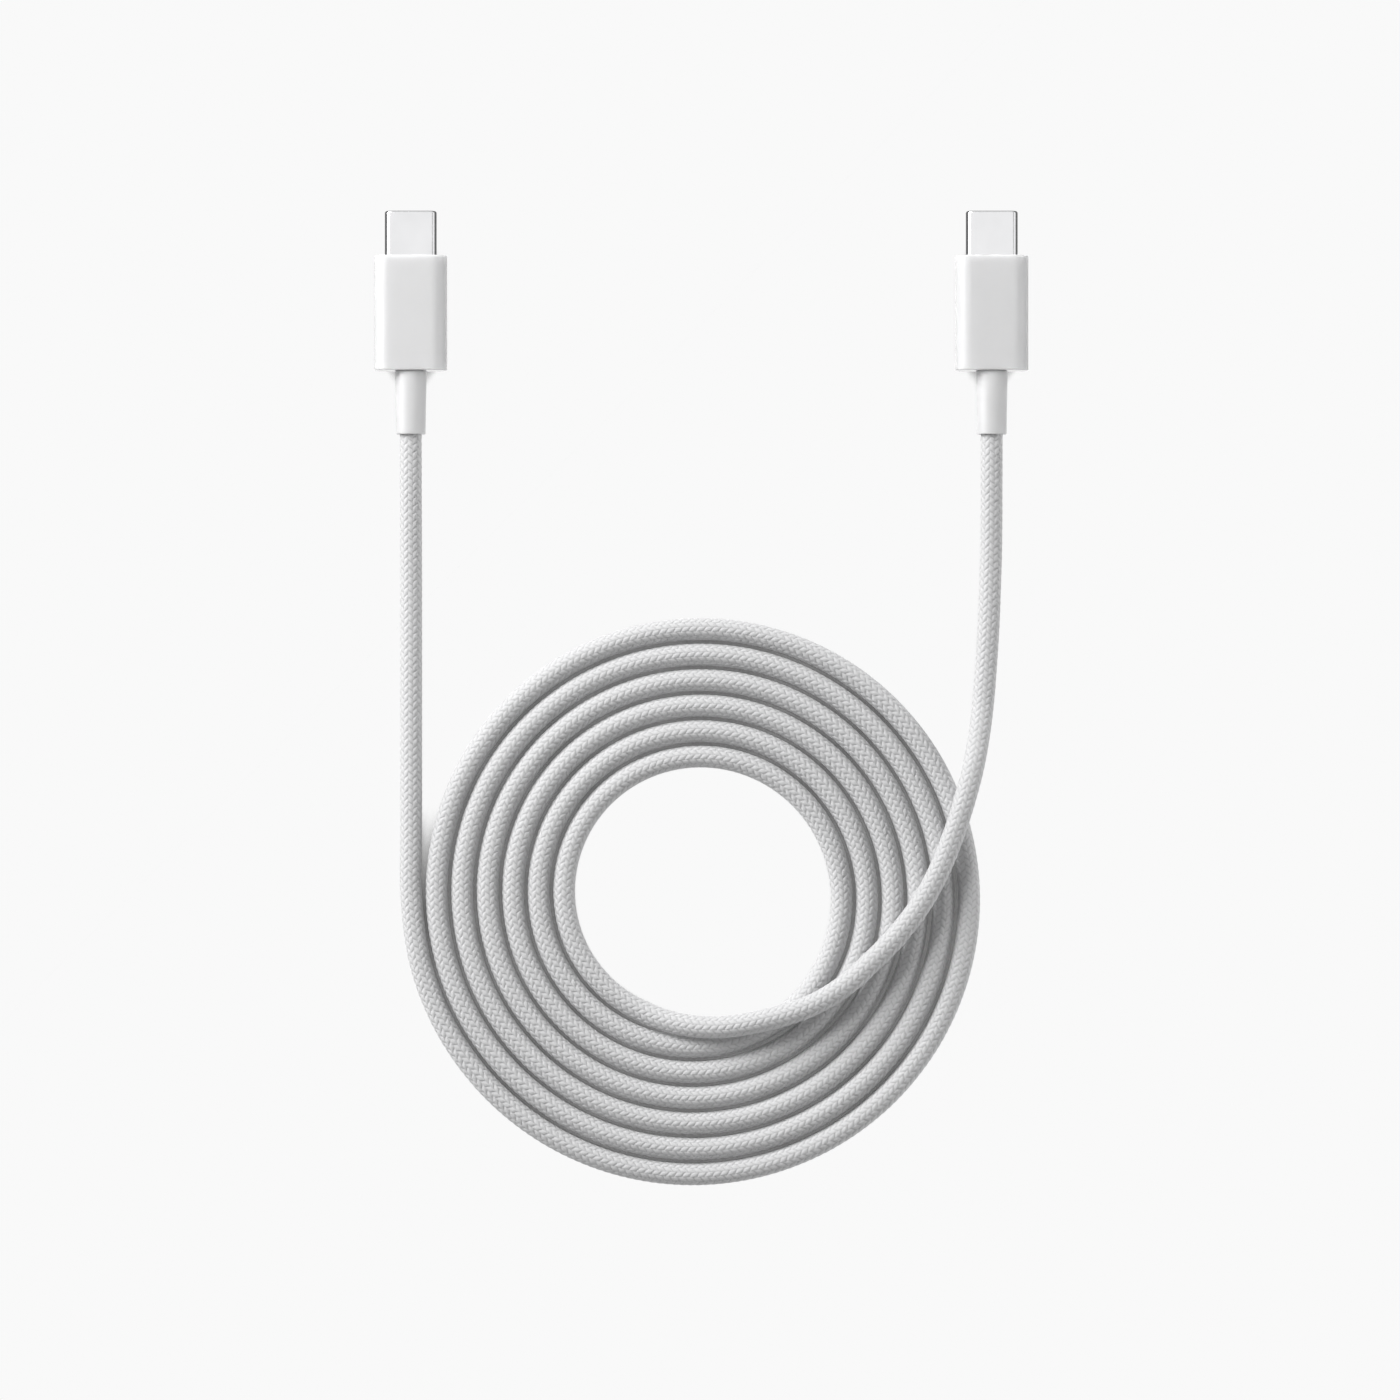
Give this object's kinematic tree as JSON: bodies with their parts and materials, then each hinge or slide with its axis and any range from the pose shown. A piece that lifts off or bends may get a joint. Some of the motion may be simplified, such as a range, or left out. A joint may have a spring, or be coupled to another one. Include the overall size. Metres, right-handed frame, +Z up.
{
  "type": "charging cable",
  "caption": "Braided charging cable wound in a flat spiral, with a flat reversible plug, glossy cover and tapered strain relief on each end.",
  "frame": {"origin": "on the surface that the cable lies on, midway between the plugs in X and at the middle of the plugs' length in Y", "axes": "+X from the left plug to the right plug, +Y the way the plugs point, +Z up from the surface"},
  "size_m": [0.1036, 0.1545, 0.0074],
  "materials": {
    "shell_steel": "drawn stainless steel, bright satin",
    "insulator": "moulded black insulator",
    "contact_gold": "gold-plated contact alloy",
    "spring_steel": "bright spring steel",
    "board": "glass-epoxy board with green solder mask",
    "chip": "moulded black chip body",
    "ceramic": "fired tan ceramic",
    "shield_tin": "tin-plated steel sheet",
    "mould_resin": "cast natural resin",
    "cover_plastic": "injection-moulded white, glossy",
    "relief_plastic": "flexible moulded white, soft gloss",
    "cord_braid": "braided white yarn sleeve",
    "wire_red": "extruded insulation",
    "wire_black": "extruded insulation",
    "wire_green": "extruded insulation",
    "wire_white": "extruded insulation",
    "wire_blue": "extruded insulation"
  },
  "bodies": {
    "cord": {"cord_coil": "cord_braid", "left_cord_run": "cord_braid", "right_cord_run": "cord_braid"},
    "left_plug": {"left_connector_shell": "shell_steel", "left_contact_housing": "insulator", "left_upper_contacts": "contact_gold", "left_lower_contacts": "contact_gold", "left_upper_ground_spring": "spring_steel", "left_lower_ground_spring": "spring_steel", "left_middle_plate": "spring_steel", "left_paddle_board": "board", "left_marker_chip": "chip", "left_bypass_capacitor": "ceramic", "left_bleed_resistor": "chip", "left_upper_shield": "shield_tin", "left_lower_shield": "shield_tin", "left_power_wire": "wire_red", "left_ground_wire": "wire_black", "left_data_plus_wire": "wire_green", "left_data_minus_wire": "wire_white", "left_config_wire": "wire_blue", "left_crimp_ring": "shield_tin", "left_inner_mould": "mould_resin", "left_outer_cover": "cover_plastic", "left_strain_relief": "relief_plastic", "left_cord_end": "cord_braid"},
    "left_inboard_latch": {"left_inboard_latch": "spring_steel"},
    "left_outboard_latch": {"left_outboard_latch": "spring_steel"},
    "right_plug": {"right_connector_shell": "shell_steel", "right_contact_housing": "insulator", "right_upper_contacts": "contact_gold", "right_lower_contacts": "contact_gold", "right_upper_ground_spring": "spring_steel", "right_lower_ground_spring": "spring_steel", "right_middle_plate": "spring_steel", "right_paddle_board": "board", "right_marker_chip": "chip", "right_bypass_capacitor": "ceramic", "right_bleed_resistor": "chip", "right_upper_shield": "shield_tin", "right_lower_shield": "shield_tin", "right_power_wire": "wire_red", "right_ground_wire": "wire_black", "right_data_plus_wire": "wire_green", "right_data_minus_wire": "wire_white", "right_config_wire": "wire_blue", "right_crimp_ring": "shield_tin", "right_inner_mould": "mould_resin", "right_outer_cover": "cover_plastic", "right_strain_relief": "relief_plastic", "right_cord_end": "cord_braid"},
    "right_inboard_latch": {"right_inboard_latch": "spring_steel"},
    "right_outboard_latch": {"right_outboard_latch": "spring_steel"}
  },
  "joints": [
    {"name": "left_plug_bend", "type": "hinge", "parent": "cord", "child": "left_plug", "pos_m": [-0.04605, -0.0327, 0.00225], "axis": [0, 0, 1], "range_deg": [-45, 45]},
    {"name": "right_plug_bend", "type": "hinge", "parent": "cord", "child": "right_plug", "pos_m": [0.04605, -0.0327, 0.00225], "axis": [0, 0, 1], "range_deg": [-45, 45]},
    {"name": "left_inboard_latch_flex", "type": "hinge", "parent": "left_plug", "child": "left_inboard_latch", "pos_m": [-0.04259, 0.0085, 0.003], "axis": [0, 0, -1], "range_deg": [0, 2], "stiffness_Nm_per_rad": 0.3},
    {"name": "left_outboard_latch_flex", "type": "hinge", "parent": "left_plug", "child": "left_outboard_latch", "pos_m": [-0.04951, 0.0085, 0.003], "axis": [0, 0, 1], "range_deg": [0, 2], "stiffness_Nm_per_rad": 0.3},
    {"name": "right_inboard_latch_flex", "type": "hinge", "parent": "right_plug", "child": "right_inboard_latch", "pos_m": [0.04259, 0.0085, 0.003], "axis": [0, 0, 1], "range_deg": [0, 2], "stiffness_Nm_per_rad": 0.3},
    {"name": "right_outboard_latch_flex", "type": "hinge", "parent": "right_plug", "child": "right_outboard_latch", "pos_m": [0.04951, 0.0085, 0.003], "axis": [0, 0, -1], "range_deg": [0, 2], "stiffness_Nm_per_rad": 0.3}
  ]
}
